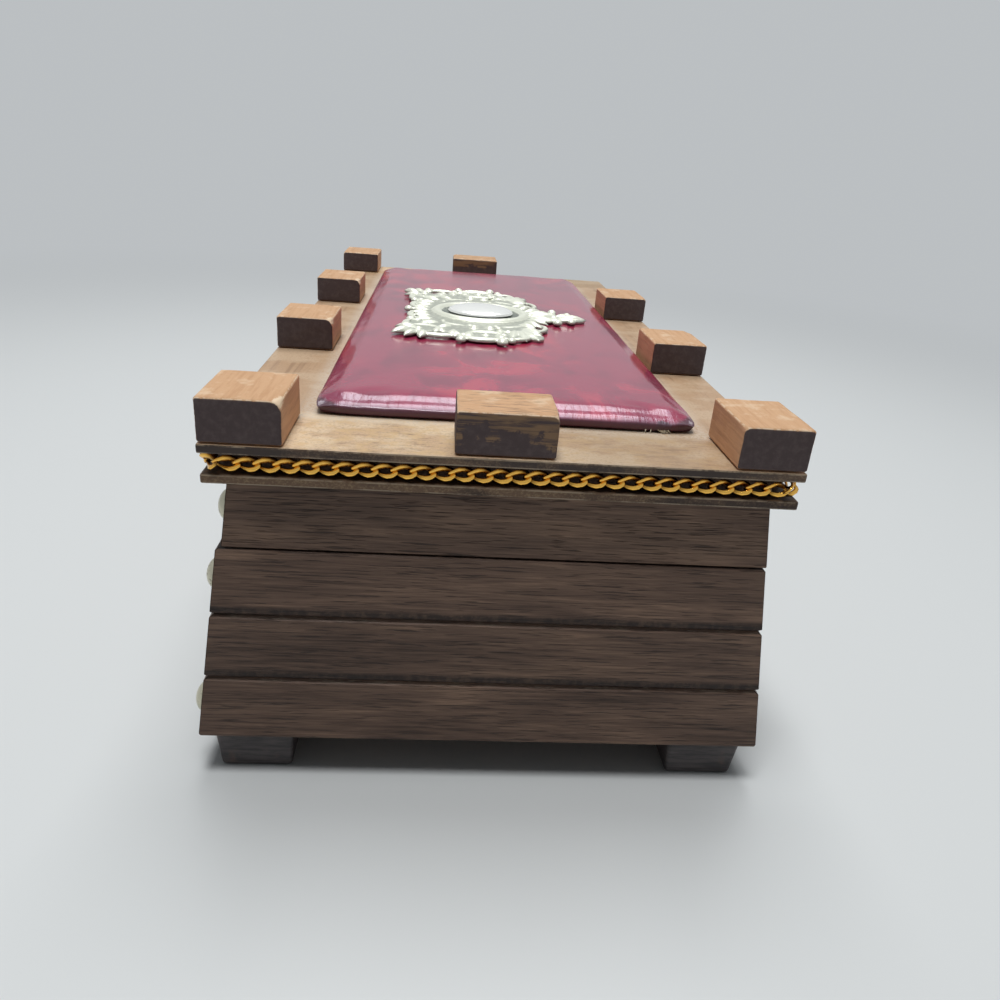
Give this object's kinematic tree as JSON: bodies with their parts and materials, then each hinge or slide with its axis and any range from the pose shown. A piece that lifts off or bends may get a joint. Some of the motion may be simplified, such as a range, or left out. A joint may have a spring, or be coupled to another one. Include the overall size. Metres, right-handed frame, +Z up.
{
  "type": "trinket box",
  "caption": "Castle-shaped wooden trinket box with a hinged, padded lid, square merlons, a chain edging, a cast mount and block feet.",
  "frame": {"origin": "on the ground, under the middle of the box's outline", "axes": "+X along the box towards its right end, +Y towards the back, where the hinges are, +Z up"},
  "size_m": [0.3152, 0.1597, 0.108],
  "materials": {
    "walnut": "dark walnut stain, satin",
    "worn_board": "worn tan and grey face with dark edges",
    "block_paint": "black paint, worn to tan wood on top",
    "leatherette": "glossy maroon coated cloth over wadding",
    "card": "plain grey card",
    "felt": "red felt",
    "cast_metal": "pale silver-gold, toned dark in the hollows",
    "polished_metal": "polished",
    "chain_gold": "gold plate",
    "brass": "pale brass, satin",
    "steel": "drawn wire"
  },
  "bodies": {
    "case": {"case_wall_front": "walnut", "case_wall_back": "walnut", "case_wall_left": "walnut", "case_wall_right": "walnut", "case_floor": "walnut", "case_lining": "felt", "foot_front_left": "walnut", "foot_front_right": "walnut", "foot_back_left": "walnut", "foot_back_right": "walnut", "case_stud_high_left": "brass", "case_stud_high_right": "brass", "case_stud_low_left": "brass", "case_stud_low_right": "brass", "hinge_left_case_leaf": "brass", "hinge_left_case_leaf_screw_left": "brass", "hinge_left_case_leaf_screw_right": "brass", "hinge_left_pin": "steel", "hinge_right_case_leaf": "brass", "hinge_right_case_leaf_screw_left": "brass", "hinge_right_case_leaf_screw_right": "brass", "hinge_right_pin": "steel"},
    "lid": {"hinge_left_lid_leaf": "brass", "hinge_left_lid_leaf_screw_left": "brass", "hinge_left_lid_leaf_screw_right": "brass", "hinge_right_lid_leaf": "brass", "hinge_right_lid_leaf_screw_left": "brass", "hinge_right_lid_leaf_screw_right": "brass", "lid_skirt_front": "walnut", "lid_skirt_back": "walnut", "lid_skirt_left": "walnut", "lid_skirt_right": "walnut", "lid_lining": "felt", "lid_stud_middle_left": "brass", "lid_stud_middle_right": "brass", "lip_board": "walnut", "channel_core": "walnut", "chain": "chain_gold", "upper_board": "worn_board", "block_front_1": "block_paint", "block_front_2": "block_paint", "block_front_3": "block_paint", "block_front_4": "block_paint", "block_back_1": "block_paint", "block_back_2": "block_paint", "block_back_3": "block_paint", "block_end_left": "block_paint", "block_end_right": "block_paint", "pad_cover": "leatherette", "pad_card": "card", "ornament_mount": "cast_metal", "ornament_boss": "polished_metal", "ornament_pin_left": "brass", "ornament_pin_right": "brass"}
  },
  "joints": [
    {"name": "lid_hinge", "type": "hinge", "parent": "case", "child": "lid", "pos_m": [0, 0.07558, 0.06765], "axis": [-1, 0, 0], "range_deg": [0, 100]}
  ]
}
